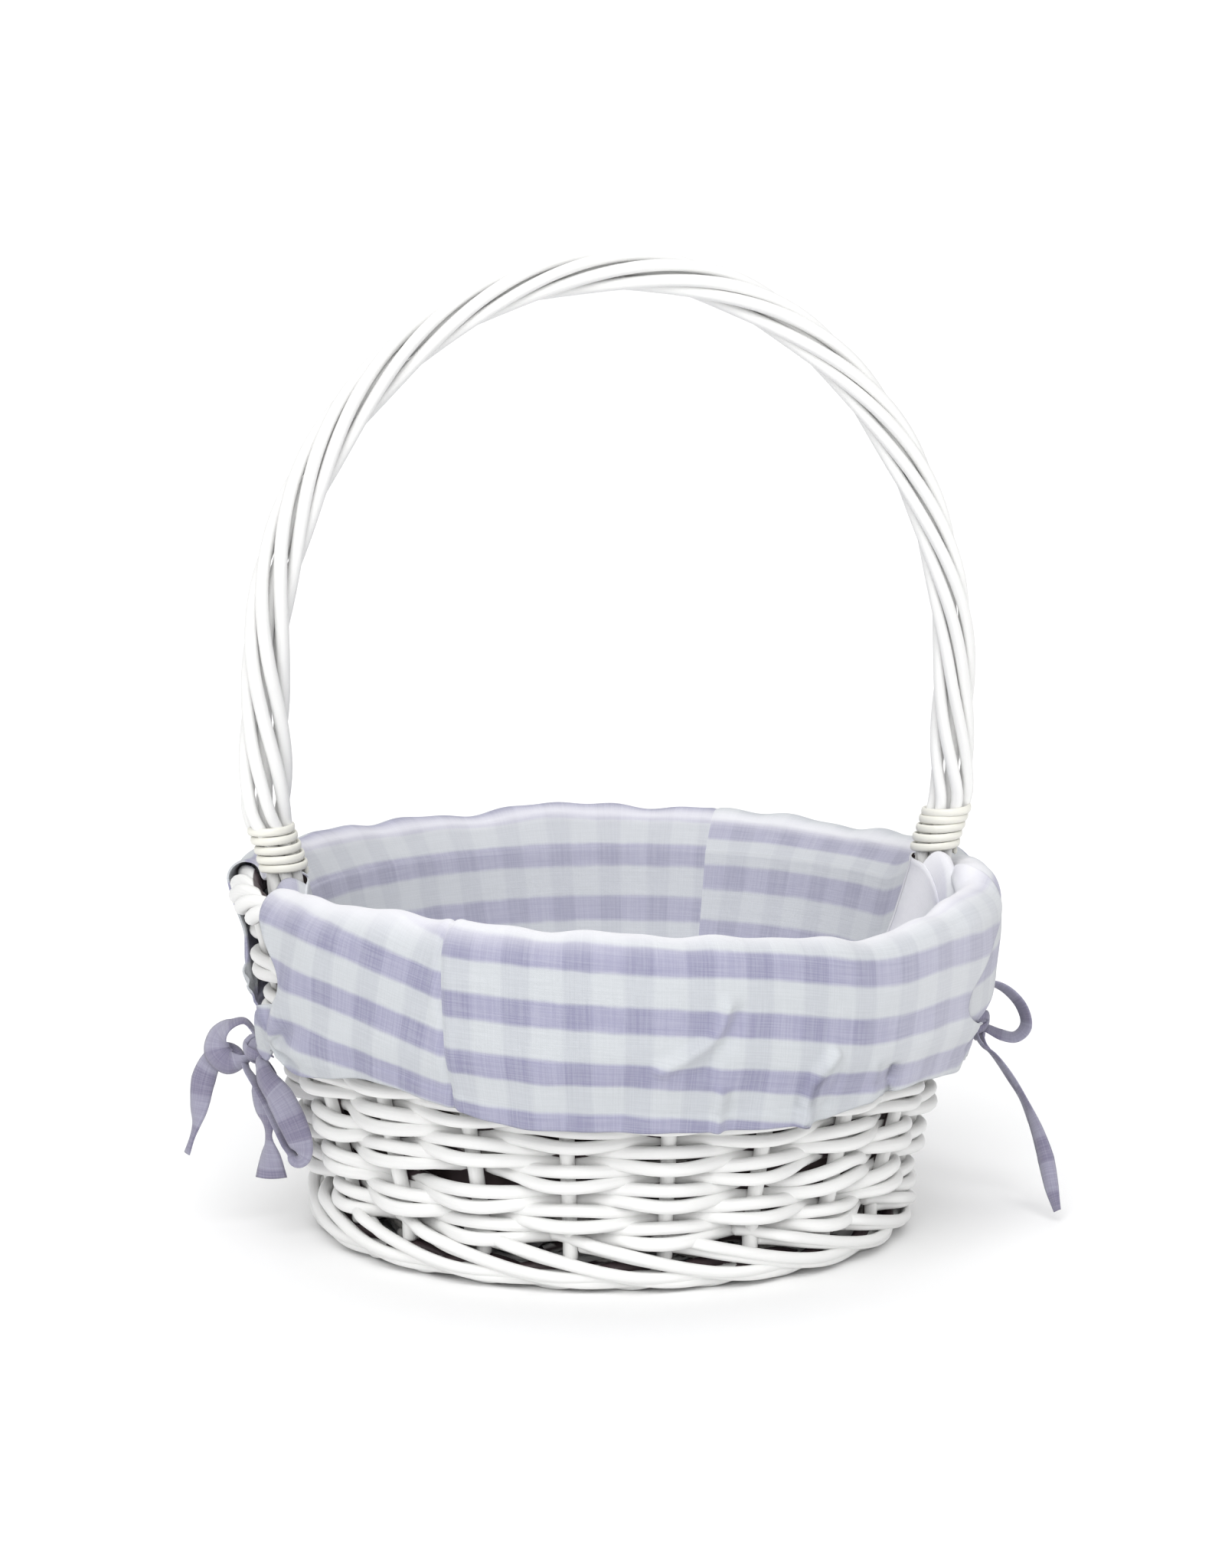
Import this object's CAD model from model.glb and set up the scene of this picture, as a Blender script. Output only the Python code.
"""Flower girl basket: white willow wicker, a twisted arch handle and a lavender gingham liner.

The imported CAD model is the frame. Every willow rod is swept again at its own place, with the uneven
thickness of real willow. The liner is lofted from its curved sheets of cloth, and the four ties are
ribbons along the routes of their CAD tubes. Lengths are millimetres until a mesh is made.
"""
import math

import bpy
import numpy as np
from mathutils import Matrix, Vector


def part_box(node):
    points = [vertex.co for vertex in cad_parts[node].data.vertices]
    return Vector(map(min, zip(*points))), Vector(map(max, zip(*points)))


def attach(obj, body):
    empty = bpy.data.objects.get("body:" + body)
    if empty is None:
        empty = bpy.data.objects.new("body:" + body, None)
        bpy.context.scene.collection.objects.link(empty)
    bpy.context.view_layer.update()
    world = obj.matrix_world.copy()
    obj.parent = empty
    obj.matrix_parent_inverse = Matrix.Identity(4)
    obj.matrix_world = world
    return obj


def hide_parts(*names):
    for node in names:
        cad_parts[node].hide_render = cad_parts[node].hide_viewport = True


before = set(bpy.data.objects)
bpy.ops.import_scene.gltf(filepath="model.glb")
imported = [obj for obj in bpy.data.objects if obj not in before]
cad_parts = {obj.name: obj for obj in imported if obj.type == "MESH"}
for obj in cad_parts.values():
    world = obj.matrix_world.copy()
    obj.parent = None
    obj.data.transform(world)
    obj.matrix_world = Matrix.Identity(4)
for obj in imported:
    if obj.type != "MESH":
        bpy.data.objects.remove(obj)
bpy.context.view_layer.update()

MM = 0.001
rng = np.random.default_rng(11)


# ---------------------------------------------------------------- camera
LENS, SENSOR_WIDTH = 125.5, 36
VIEW_AZIMUTH, VIEW_ELEVATION = -10, 9.94
VIEW_DISTANCE, AIM_Z = 1.9936, 0.1627


def direction(azimuth, elevation):
    """Unit vector at degrees to the right of the front and degrees above the floor."""
    a, e = math.radians(azimuth), math.radians(elevation)
    return Vector((math.sin(a) * math.cos(e), -math.cos(a) * math.cos(e), math.sin(e)))


def make_camera():
    """The photograph's view: a long lens from the front left, ten degrees above the floor."""
    data = bpy.data.cameras.new("camera")
    data.lens = LENS
    data.sensor_width = SENSOR_WIDTH
    data.clip_end = 100
    camera = bpy.data.objects.new("camera", data)
    back = direction(VIEW_AZIMUTH, VIEW_ELEVATION)
    camera.location = back * VIEW_DISTANCE + Vector((0, 0, AIM_Z))
    camera.rotation_euler = (-back).to_track_quat("-Z", "Y").to_euler()
    bpy.context.scene.collection.objects.link(camera)
    bpy.context.scene.camera = camera


make_camera()


# ---------------------------------------------------------------- curves and meshes
def unit(v):
    """Vectors of length 1."""
    return v / np.maximum(np.linalg.norm(v, axis=-1, keepdims=True), 1e-9)


def smooth(points, per_span=12):
    """Catmull-Rom curve through the points."""
    p = np.asarray(points, float)
    p = np.vstack([2 * p[0] - p[1], p, 2 * p[-1] - p[-2]])
    t = np.linspace(0, 1, per_span, endpoint=False)[:, None]
    spans = []
    for a, b, c, d in zip(p, p[1:], p[2:], p[3:]):
        spans.append(0.5 * (2 * b + (c - a) * t + (2 * a - 5 * b + 4 * c - d) * t ** 2
                            + (3 * b - a - 3 * c + d) * t ** 3))
    return np.vstack(spans + [p[-2:-1]])


def lengths(path):
    """Distance along a path to each of its points."""
    return np.r_[0, np.cumsum(np.linalg.norm(np.diff(path, axis=0), axis=1))]


def wobble(x, period, size, waves=5):
    """A smooth random wave along x, the same at both ends of the period."""
    total = np.zeros_like(x, float)
    for k in range(1, waves + 1):
        total += rng.normal() / k * np.cos(2 * math.pi * k * x / period + rng.uniform(0, 6.3))
    return size * total / 1.2


def ease(x, low, high):
    """0 up to low, 1 from high on, and a smooth rise between them."""
    t = np.clip((x - low) / (high - low), 0, 1)
    return t * t * (3 - 2 * t)


def hump(x, centre, half_width):
    """1 at the centre, falling smoothly to 0 on both sides."""
    return np.exp(-((x - centre) / half_width) ** 2)


def make_object(name, points, faces, uv, material, body, attributes=()):
    """A piece of the object from points in millimetres, faces, and a UV pair per face corner."""
    mesh = bpy.data.meshes.new(name)
    mesh.from_pydata((np.asarray(points) * MM).tolist(), [], [list(f) for f in faces])
    layer = mesh.uv_layers.new(name="cloth")
    layer.data.foreach_set("uv", np.asarray(uv, np.float32).ravel())
    for key, values in attributes:
        attribute = mesh.attributes.new(key, "FLOAT", "POINT")
        attribute.data.foreach_set("value", np.asarray(values, np.float32))
    mesh.polygons.foreach_set("use_smooth", [True] * len(mesh.polygons))
    mesh.materials.append(material)
    mesh.update()
    piece = bpy.data.objects.new(name, mesh)
    bpy.context.scene.collection.objects.link(piece)
    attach(piece, body)
    return piece


def frames(path, up, closed):
    """Direction, and two directions across it, at each point of a path."""
    if closed:
        way = unit(np.roll(path, -1, 0) - np.roll(path, 1, 0))
    else:
        way = unit(np.gradient(path, axis=0))
    across = unit(np.cross(up, way))
    return way, across, np.cross(way, across)


def tube(path, across_r, up_r, up=(0, 0, 1), sides=12, closed=False, ends=0.6):
    """Points, faces and UVs (in metres along and around) of a swept rod with domed ends."""
    path = np.asarray(path, float)
    count = len(path)
    across_r = np.broadcast_to(np.asarray(across_r, float), count)
    up_r = np.broadcast_to(np.asarray(up_r, float), count)
    way, across, normal = frames(path, np.asarray(up, float), closed)
    if not closed:
        dome = np.radians([75, 50, 25])
        start = [(path[0] - way[0] * across_r[0] * ends * math.sin(a), math.cos(a)) for a in dome]
        finish = [(path[-1] + way[-1] * across_r[-1] * ends * math.sin(a), math.cos(a))
                  for a in dome[::-1]]
        path = np.vstack([[p for p, _ in start], path, [p for p, _ in finish]])
        scale = np.r_[[c for _, c in start], np.ones(count), [c for _, c in finish]]
        pick = np.r_[[0] * 3, np.arange(count), [count - 1] * 3]
        across, normal = across[pick], normal[pick]
        across_r, up_r = across_r[pick] * scale, up_r[pick] * scale
        count = len(path)
    turn = np.linspace(0, 2 * math.pi, sides, endpoint=False)
    points = (path[:, None] + across[:, None] * (across_r[:, None] * np.cos(turn))[..., None]
              + normal[:, None] * (up_r[:, None] * np.sin(turn))[..., None])
    spans = count if closed else count - 1
    i, j = np.meshgrid(np.arange(spans), np.arange(sides), indexing="ij")
    i, j = i.ravel(), j.ravel()
    i2, j2 = (i + 1) % count, (j + 1) % sides
    faces = np.stack([i * sides + j, i * sides + j2, i2 * sides + j2, i2 * sides + j], 1).tolist()
    along = lengths(np.vstack([path, path[:1]])) * MM
    girth = 2 * math.pi * float(np.mean(across_r + up_r)) / 2 * MM / sides
    uv = np.stack([np.stack([along[i], j * girth], 1), np.stack([along[i], (j + 1) * girth], 1),
                   np.stack([along[i + 1], (j + 1) * girth], 1),
                   np.stack([along[i + 1], j * girth], 1)], 1).reshape(-1, 2)
    if not closed:
        faces.append(list(range(sides))[::-1])
        faces.append([(count - 1) * sides + k for k in range(sides)])
        uv = np.vstack([uv, np.zeros((2 * sides, 2))])
    return points.reshape(-1, 3), faces, uv


def joined(parts):
    """Several (points, faces, uv) as one."""
    points, faces, uvs, start = [], [], [], 0
    for p, f, u in parts:
        points.append(p)
        faces += [[k + start for k in face] for face in f]
        uvs.append(u)
        start += len(p)
    return np.vstack(points), faces, np.vstack(uvs)


def grid(rows, columns):
    """Faces of a grid of points, and the rows and columns of each face's four corners."""
    i, j = np.meshgrid(np.arange(rows - 1), np.arange(columns - 1), indexing="ij")
    i, j = i.ravel(), j.ravel()
    corner = [(i, j), (i, j + 1), (i + 1, j + 1), (i + 1, j)]
    return np.stack([a * columns + b for a, b in corner], 1), corner


# ---------------------------------------------------------------- materials
class Nodes:
    """Short calls for building one node material."""

    def __init__(self, name):
        self.material = bpy.data.materials.new(name)
        self.material.use_nodes = True
        self.tree = self.material.node_tree
        self.shader = self.tree.nodes["Principled BSDF"]

    def add(self, kind, inputs=(), **settings):
        """A new node with its settings and inputs."""
        node = self.tree.nodes.new(kind)
        for key, value in settings.items():
            setattr(node, key, value)
        for key, value in dict(inputs).items():
            self.feed(value, node.inputs[key])
        return node

    def feed(self, value, socket):
        """Links a socket, or sets a plain value."""
        if isinstance(value, bpy.types.NodeSocket):
            self.tree.links.new(value, socket)
        else:
            socket.default_value = value

    def maths(self, operation, a, b=0.0, c=0.0):
        """Result of a maths node."""
        node = self.add("ShaderNodeMath", operation=operation)
        for value, socket in zip((a, b, c), node.inputs):
            self.feed(value, socket)
        return node.outputs[0]

    def ramp(self, value, low, high, to_low=0.0, to_high=1.0):
        """Value eased from one range to another."""
        node = self.add("ShaderNodeMapRange", interpolation_type="SMOOTHSTEP")
        for key, item in {"Value": value, "From Min": low, "From Max": high,
                          "To Min": to_low, "To Max": to_high}.items():
            self.feed(item, node.inputs[key])
        return node.outputs[0]

    def noise(self, vector, scale, detail=2.0, rough=0.5):
        """Smooth noise from 0 to 1."""
        return self.add("ShaderNodeTexNoise", {"Vector": vector, "Scale": scale, "Detail": detail,
                                               "Roughness": rough}).outputs["Fac"]

    def stretched(self, vector, scales):
        """Coordinates scaled along each axis."""
        return self.add("ShaderNodeMapping", {"Vector": vector, "Scale": scales}).outputs[0]

    def mix(self, share, a, b, blend="MIX"):
        """Colour a, with this share of colour b."""
        node = self.add("ShaderNodeMix", data_type="RGBA", blend_type=blend)
        for value, socket in ((share, node.inputs[0]), (a, node.inputs[6]), (b, node.inputs[7])):
            self.feed(value, socket)
        return node.outputs[2]

    def bump(self, height, strength, distance, below=None):
        """Normal from a height, over the bump below it."""
        node = self.add("ShaderNodeBump", {"Height": height, "Strength": strength,
                                           "Distance": distance})
        if below is not None:
            self.feed(below, node.inputs["Normal"])
        return node.outputs[0]

    def cloth_uv(self):
        """The mesh's UV map, in metres."""
        return self.add("ShaderNodeUVMap", uv_map="cloth").outputs[0]

    def fixed(self, values):
        """Sets the shader's inputs that are the same all over."""
        for key, value in values.items():
            self.shader.inputs[key].default_value = value


def willow(name, paint, bare, roughness=0.42):
    """Peeled willow under thin satin paint: lengthwise grain, brush streaks, bare wood in the gaps.

    The inner side of the wall is painted too, more thinly."""
    n = Nodes(name)
    uv = n.cloth_uv()
    place = n.add("ShaderNodeTexCoord").outputs["Object"]
    grain = n.noise(n.stretched(uv, (45, 1500, 1)), 1.0, 4.0, 0.6)
    streak = n.noise(n.stretched(uv, (16, 330, 1)), 1.0, 2.0)
    patch = n.noise(place, 38.0, 3.0)
    lumps = n.noise(place, 420.0, 2.0)
    worn = n.add("ShaderNodeAttribute", attribute_name="bare").outputs["Fac"]
    ragged = n.maths("ADD", worn, n.maths("MULTIPLY", n.maths("SUBTRACT", patch, 0.5), 0.5))
    covered = n.mix(n.ramp(streak, 0.35, 0.75), paint, [c * 0.93 for c in paint[:3]] + [1])
    covered = n.mix(n.ramp(grain, 0.62, 0.8, 0, 0.35), covered, (0.60, 0.56, 0.50, 1))
    covered = n.mix(n.ramp(patch, 0.55, 0.85, 0, 0.35), covered, (0.74, 0.74, 0.75, 1))
    inner = n.mix(n.ramp(grain, 0.3, 0.7), (0.58, 0.56, 0.53, 1), (0.66, 0.65, 0.63, 1))
    hidden = n.mix(n.ramp(worn, 0.90, 0.99), bare, inner)
    n.feed(n.mix(n.ramp(ragged, 0.45, 0.62), covered, hidden), n.shader.inputs["Base Color"])
    n.feed(n.ramp(grain, 0.3, 0.8, roughness - 0.08, roughness + 0.14),
           n.shader.inputs["Roughness"])
    rough = n.bump(lumps, 0.25, 0.0003)
    n.feed(n.bump(grain, 0.5, 0.00025, rough), n.shader.inputs["Normal"])
    n.shader.inputs["Specular IOR Level"].default_value = 0.4
    return n.material


def band(n, coordinate, pitch, share, offset, soft=0.07):
    """1 inside each stripe of a row of stripes and 0 between them."""
    place = n.maths("FRACT", n.maths("DIVIDE", n.maths("ADD", coordinate, offset), pitch))
    rise = n.ramp(place, 0.0, soft)
    fall = n.ramp(place, share, share + soft, 1.0, 0.0)
    return n.maths("MULTIPLY", rise, fall)


def weave(n, uv, pitch=0.00042):
    """Height of plain-woven threads, and slow streaks of thick and thin yarn both ways."""
    split = n.add("ShaderNodeSeparateXYZ", {"Vector": uv})
    turn = 2 * math.pi / pitch
    warp = n.maths("SINE", n.maths("MULTIPLY", split.outputs[0], turn))
    weft = n.maths("SINE", n.maths("MULTIPLY", split.outputs[1], turn))
    height = n.maths("MULTIPLY", warp, weft)
    slub_u = n.noise(n.stretched(uv, (1900, 45, 1)), 1.0, 2.0)
    slub_v = n.noise(n.stretched(uv, (45, 1900, 1)), 1.0, 2.0)
    return split, height, slub_u, slub_v


def gingham():
    """Yarn-dyed gingham: strong lavender bands one way and faint ones the other way."""
    n = Nodes("lavender_gingham")
    uv = n.cloth_uv()
    split, threads, slub_u, slub_v = weave(n, uv)
    ripple = n.maths("MULTIPLY", n.maths("SUBTRACT", n.noise(uv, 90.0, 2.0), 0.5), 0.0012)
    u = n.maths("ADD", split.outputs[0], ripple)
    v = n.maths("ADD", split.outputs[1], ripple)
    rows = band(n, v, 0.021, 0.45, -0.0067, 0.1)
    columns = band(n, u, 0.0208, 0.46, 0.0, 0.1)
    colour = n.mix(rows, (0.580, 0.605, 0.630, 1), (0.350, 0.347, 0.480, 1))
    crossed = n.maths("MULTIPLY", columns, n.ramp(rows, 0, 1, 0.5, 1.0))
    colour = n.mix(crossed, colour, (0.81, 0.81, 0.85, 1), "MULTIPLY")
    pale = n.add("ShaderNodeAttribute", attribute_name="faded").outputs["Fac"]
    colour = n.mix(pale, colour, (0.89, 0.885, 0.925, 1))
    yarn = n.maths("MULTIPLY", n.maths("ADD", slub_u, slub_v), 0.5)
    colour = n.mix(n.ramp(yarn, 0.35, 0.68, 0, 0.16), colour, (0.9, 0.92, 0.96, 1))
    colour = n.mix(n.ramp(threads, -1.0, 0.2, 0.10, 0), colour, (0.33, 0.33, 0.42, 1))
    n.feed(colour, n.shader.inputs["Base Color"])
    n.fixed({"Roughness": 0.88, "Sheen Weight": 0.25, "Sheen Roughness": 0.5,
             "Specular IOR Level": 0.2})
    soft = n.bump(n.noise(uv, 320.0, 3.0), 0.35, 0.0006)
    coarse = n.bump(yarn, 0.5, 0.00025, soft)
    n.feed(n.bump(threads, 0.6, 0.00009, coarse), n.shader.inputs["Normal"])
    return n.material


def tie_cloth():
    """The same cotton cut in strips: greyer lavender with pale threads."""
    n = Nodes("lavender_tie_cotton")
    uv = n.cloth_uv()
    split, threads, slub_u, slub_v = weave(n, uv)
    checks = band(n, split.outputs[0], 0.021, 0.45, 0.004)
    colour = n.mix(checks, (0.30, 0.29, 0.385, 1), (0.205, 0.19, 0.28, 1))
    yarn = n.maths("MULTIPLY", n.maths("ADD", slub_u, slub_v), 0.5)
    colour = n.mix(n.ramp(yarn, 0.35, 0.7, 0, 0.25), colour, (0.62, 0.62, 0.72, 1))
    n.feed(colour, n.shader.inputs["Base Color"])
    n.fixed({"Roughness": 0.85, "Sheen Weight": 0.3, "Specular IOR Level": 0.2})
    soft = n.bump(n.noise(uv, 500.0, 3.0), 0.35, 0.0005)
    n.feed(n.bump(threads, 0.6, 0.00009, soft), n.shader.inputs["Normal"])
    return n.material


WHITE = willow("white_painted_willow", (0.86, 0.86, 0.85, 1), (0.065, 0.045, 0.05, 1))
CANE = willow("white_painted_cane", (0.84, 0.83, 0.76, 1), (0.30, 0.24, 0.17, 1), 0.38)
GINGHAM = gingham()
TIE = tie_cloth()


def shade_material():
    """The dull brown-grey outer side of the bag, seen only through the gaps of the wicker."""
    n = Nodes("bag_backing")
    uv = n.cloth_uv()
    threads = weave(n, uv)[1]
    cloudy = n.noise(uv, 60.0, 3.0)
    n.feed(n.mix(n.ramp(cloudy, 0.3, 0.7), (0.060, 0.045, 0.045, 1), (0.115, 0.09, 0.095, 1)),
           n.shader.inputs["Base Color"])
    n.fixed({"Roughness": 0.95, "Specular IOR Level": 0.1})
    n.feed(n.bump(threads, 0.6, 0.00009), n.shader.inputs["Normal"])
    return n.material


SHADE = shade_material()


# ---------------------------------------------------------------- ties (free cords)
TIE_WIDTH = 10.5
TIE_LEFT_FRONT = [
    (-129.5, -18, 70), (-131, -12, 72), (-131.5, -8, 74), (-132.5, -4, 76.5), (-136, -3, 80.5),
    (-141.5, -2, 79), (-145.5, 0, 74), (-146, -1, 68.5), (-142, -3, 65), (-137, -5.5, 66),
    (-133, -8, 68.5), (-130.5, -10.5, 67), (-129.5, -12, 62.5), (-129.5, -12.5, 56),
    (-129.5, -12.5, 48), (-129, -12.5, 40), (-128.5, -12.5, 32), (-128, -12, 23.5)]
TIE_LEFT_BACK = [
    (-129.5, 18, 70), (-130.5, 10, 70.5), (-130.5, 3, 71), (-130.5, -4, 71.5), (-131, -10, 70),
    (-132, -16, 67.5), (-131, -22, 63), (-126.5, -27, 57), (-122.5, -30, 49), (-119.5, -31, 41),
    (-119, -30, 36), (-120.5, -26.5, 34.5), (-123, -23.5, 38.5), (-126, -21, 45.5),
    (-129.5, -18, 53), (-133, -13.5, 59), (-135.5, -8, 63), (-136.5, -3, 66), (-139, 1, 68.5),
    (-143, 3, 68.5), (-147.5, 4, 64.5), (-150.5, 5, 57), (-152, 5, 48), (-153.5, 5, 41),
    (-155, 5, 35.5), (-157, 5, 30)]
TIE_RIGHT_FRONT = [
    (131, -10, 68), (134, -6.5, 71), (137, 0, 72.5), (138.5, 4, 76), (140.5, 6, 80.5),
    (145, 5.5, 81.5), (150.5, 4, 78.5), (155, 2.5, 73), (156.5, 2, 66.5), (153, 2, 62.5),
    (147.5, 3, 63), (142, 4, 65.5), (138, 2.5, 66), (137, -2.5, 64), (139, -4.5, 60.5),
    (143.5, -5, 57), (148.5, -8, 50), (153, -13, 41), (156, -19, 31.5), (158, -25, 21.5),
    (159, -31, 12), (160, -36, 4.5)]
TIE_RIGHT_BACK = [
    (131, 10, 68), (134.5, 8, 66.5), (137.5, 6, 69.5), (139.5, 9, 73), (141.5, 15, 76),
    (143, 22, 74.5), (143.5, 26, 69), (143, 24, 63), (142, 18, 61), (141.5, 11, 62.5),
    (140.5, 5, 63), (141, 1, 59.5), (145, 1.5, 54.5), (151, 3, 46), (155.5, 2, 38.5),
    (159, 0, 29), (161.5, -3, 20), (163, -7, 12)]
# How far each ribbon is turned edge-on to the front at its route's points, in degrees, and its
# width there as a share of TIE_WIDTH.
TURN_LEFT_FRONT = [60, 70, 75, 80, 85, 75, 45, 15, 5, 40, 70, 60, 30, 5, 30, 75, 40, 10]
WIDE_LEFT_FRONT = [0.5, 0.4, 0.4, 0.45, 0.6, 0.8, 1.0, 1.0, 0.9, 0.6, 0.45, 0.5, 0.8, 1.0,
                   0.9, 0.7, 0.9, 1.1]
TURN_LEFT_BACK = [40, 60, 70, 70, 60, 40, 20, 10, 5, 15, 40, 80, 70, 60, 60, 65, 70, 70, 60, 50,
                  30, 10, 20, 60, 80, 70]
WIDE_LEFT_BACK = [0.5, 0.4, 0.4, 0.4, 0.45, 0.6, 0.8, 1.0, 1.0, 0.9, 0.8, 0.7, 0.7, 0.6, 0.5,
                  0.45, 0.4, 0.4, 0.5, 0.7, 0.8, 0.85, 0.7, 0.6, 0.5, 0.5]
TURN_RIGHT_FRONT = [50, 60, 70, 75, 80, 70, 65, 65, 70, 75, 70, 70, 70, 75, 80, 80, 75, 70, 45,
                    25, 20, 35]
WIDE_RIGHT_FRONT = [0.5, 0.4, 0.4, 0.5, 0.8, 0.9, 0.9, 0.9, 0.9, 0.8, 0.7, 0.5, 0.4, 0.3, 0.3,
                    0.32, 0.35, 0.42, 0.55, 0.62, 0.5, 0.3]
TURN_RIGHT_BACK = [50, 60, 60, 60, 70, 80, 80, 70, 60, 60, 70, 75, 80, 80, 80, 75, 70, 70]
WIDE_RIGHT_BACK = [0.5, 0.4, 0.4, 0.5, 0.7, 0.9, 0.9, 0.8, 0.7, 0.5, 0.4, 0.45, 0.6, 0.7, 0.8,
                   0.8, 0.8, 0.8]


def ribbon(name, route, turns, widths, node, far_end="bare"):
    """One tie: a strip of cotton with a slightly cupped section that twists along its route."""
    per_span = 10
    path = smooth(route, per_span)
    knots = np.arange(len(route)) * per_span
    steps = np.arange(len(path))
    turn = np.radians(smooth(np.c_[turns, turns], per_span)[:, 0])
    width = TIE_WIDTH * np.interp(steps, knots, widths)
    way = unit(np.gradient(path, axis=0))
    face_on = unit(np.cross(way, (0.17, 0.98, 0)))
    edge_on = np.cross(way, face_on)
    across = face_on * np.cos(turn)[:, None] + edge_on * np.sin(turn)[:, None]
    normal = np.cross(way, across)
    columns = 9
    t = np.linspace(-1, 1, columns)
    cup = 0.16 * (1 - t ** 2) - 0.08
    crinkle = wobble(steps.astype(float), len(steps), 0.5, 9)
    points = (path[:, None] + across[:, None] * (width[:, None] / 2 * t)[..., None]
              + normal[:, None] * (width[:, None] * cup
                                   + crinkle[:, None] * np.cos(2.5 * t))[..., None])
    faces, corner = grid(len(path), columns)
    along = lengths(path) * MM
    uv = np.stack([np.stack([along[a], (t[b] + 1) / 2 * TIE_WIDTH * MM], 1)
                   for a, b in corner], 1).reshape(-1, 2)
    piece = make_object(name, points.reshape(-1, 3), faces, uv, TIE, "liner")
    thicken(piece, 0.5)
    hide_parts(node)
    exit_point = path[0] * MM
    return piece, dict(exit=tuple(exit_point), length=float(along[-1]), diameter=TIE_WIDTH * MM,
                       far_end=far_end, stiffness="limp", lay="hanging",
                       path=(path[::3] * MM).tolist() + [(path[-1] * MM).tolist()])


def thicken(piece, thickness, backing=None):
    """Gives a sheet its thickness; backing is another material for the side facing the wicker."""
    one_side = len(piece.data.vertices)
    solid = piece.modifiers.new("thickness", "SOLIDIFY")
    solid.thickness = thickness * MM
    solid.offset = 0
    if backing:
        piece.data.materials.append(backing)
        solid.material_offset = 1
    graph = bpy.context.evaluated_depsgraph_get()
    made = bpy.data.meshes.new_from_object(piece.evaluated_get(graph), depsgraph=graph)
    piece.modifiers.clear()
    piece.data = made
    for face in made.polygons:
        sides = [v < one_side for v in face.vertices]
        face.use_smooth = all(sides) or not any(sides)


def knot(name, node, size, tilt):
    """A small tight knot: gathered cloth under two crossing wraps of the ribbon."""
    low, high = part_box(node)
    centre = (np.array(low) + np.array(high)) / 2 / MM
    radius = size * float(high.x - low.x) / MM / 2
    lat, lon = np.meshgrid(np.linspace(-1.45, 1.45, 18), np.linspace(0, 2 * math.pi, 28, False),
                           indexing="ij")
    pleat = 1 + 0.10 * np.sin(7 * lon + 2 * lat) + 0.06 * np.sin(11 * lon - 3 * lat)
    body = np.stack([np.cos(lat) * np.cos(lon) * pleat, np.cos(lat) * np.sin(lon) * pleat,
                     np.sin(lat)], -1) * radius * 0.86
    i, j = np.meshgrid(np.arange(17), np.arange(28), indexing="ij")
    i, j = i.ravel(), j.ravel()
    j2 = (j + 1) % 28
    faces = np.stack([i * 28 + j, i * 28 + j2, (i + 1) * 28 + j2, (i + 1) * 28 + j], 1).tolist()
    uv = np.stack([np.stack([a * 0.0008, b * 0.0012], 1)
                   for a, b in ((i, j), (i, j + 1), (i + 1, j + 1), (i + 1, j))], 1).reshape(-1, 2)
    faces += [list(range(28))[::-1], [17 * 28 + k for k in range(28)]]
    uv = np.vstack([uv, np.zeros((56, 2))])
    parts = [(body.reshape(-1, 3), faces, uv)]
    for lean, lift in ((tilt, 0.7), (tilt + 1.0, -0.6)):
        a = np.linspace(0, 2 * math.pi, 36, endpoint=False)
        ring = np.stack([np.cos(a), np.sin(a) * math.cos(lean),
                         np.sin(a) * math.sin(lean)], 1) * radius * 0.93
        axis = np.array([0, -math.sin(lean), math.cos(lean)])
        band_points, band_faces, band_uv = tube(ring + axis * lift, 0.9 + 0.2 * np.sin(3 * a),
                                                2.3 + 0.4 * np.sin(2 * a), up=axis, sides=10,
                                                closed=True)
        parts.append((band_points, band_faces, band_uv))
    points, faces, uv = joined(parts)
    piece = make_object(name, points + centre, faces, uv, TIE, "liner")
    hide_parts(node)
    return piece


knot_left = knot("knot_left", "tie_knot_left", 1.0, 0.5)
knot_right = knot("knot_right", "tie_knot_right", 1.0, -0.4)
for name, route, turns, widths, node, tied in (
        ("ribbon_left_front", TIE_LEFT_FRONT, TURN_LEFT_FRONT, WIDE_LEFT_FRONT,
         "tie_left_front", [knot_left]),
        ("ribbon_left_back", TIE_LEFT_BACK, TURN_LEFT_BACK, WIDE_LEFT_BACK, "tie_left_back", []),
        ("ribbon_right_front", TIE_RIGHT_FRONT, TURN_RIGHT_FRONT, WIDE_RIGHT_FRONT,
         "tie_right_front", [knot_right]),
        ("ribbon_right_back", TIE_RIGHT_BACK, TURN_RIGHT_BACK, WIDE_RIGHT_BACK,
         "tie_right_back", [])):
    piece, facts = ribbon(name, route, turns, widths, node)


# ---------------------------------------------------------------- wicker
STAKES = 20
ROWS = 13
STAKE_STEP = 2 * math.pi / STAKES
SWING = 5.2


def reach(node):
    """How far a round node reaches from the middle."""
    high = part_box(node)[1]
    return max(high.x, high.y) / MM


def middle_z(node):
    """Height of the middle of a node."""
    low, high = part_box(node)
    return (low.z + high.z) / 2 / MM


row_z = [middle_z(f"weaver_{k:02d}") for k in range(1, ROWS + 1)]
ROW_REACH = 7.7
FLARE = (reach(f"weaver_{ROWS:02d}") - reach("weaver_01")) / (row_z[-1] - row_z[0])
HEEL_Z = 18
BASE_R = reach("weaver_01") - ROW_REACH - FLARE * (row_z[0] - HEEL_Z)


def wall_r(z):
    """Radius of the circle of stakes at a height."""
    return BASE_R + np.maximum(0, z - HEEL_Z) * FLARE


def polar(r, angle, z):
    """Points at a radius, an angle and a height."""
    r, angle, z = np.broadcast_arrays(r, angle, z)
    return np.stack([r * np.cos(angle), r * np.sin(angle), z], -1)


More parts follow.
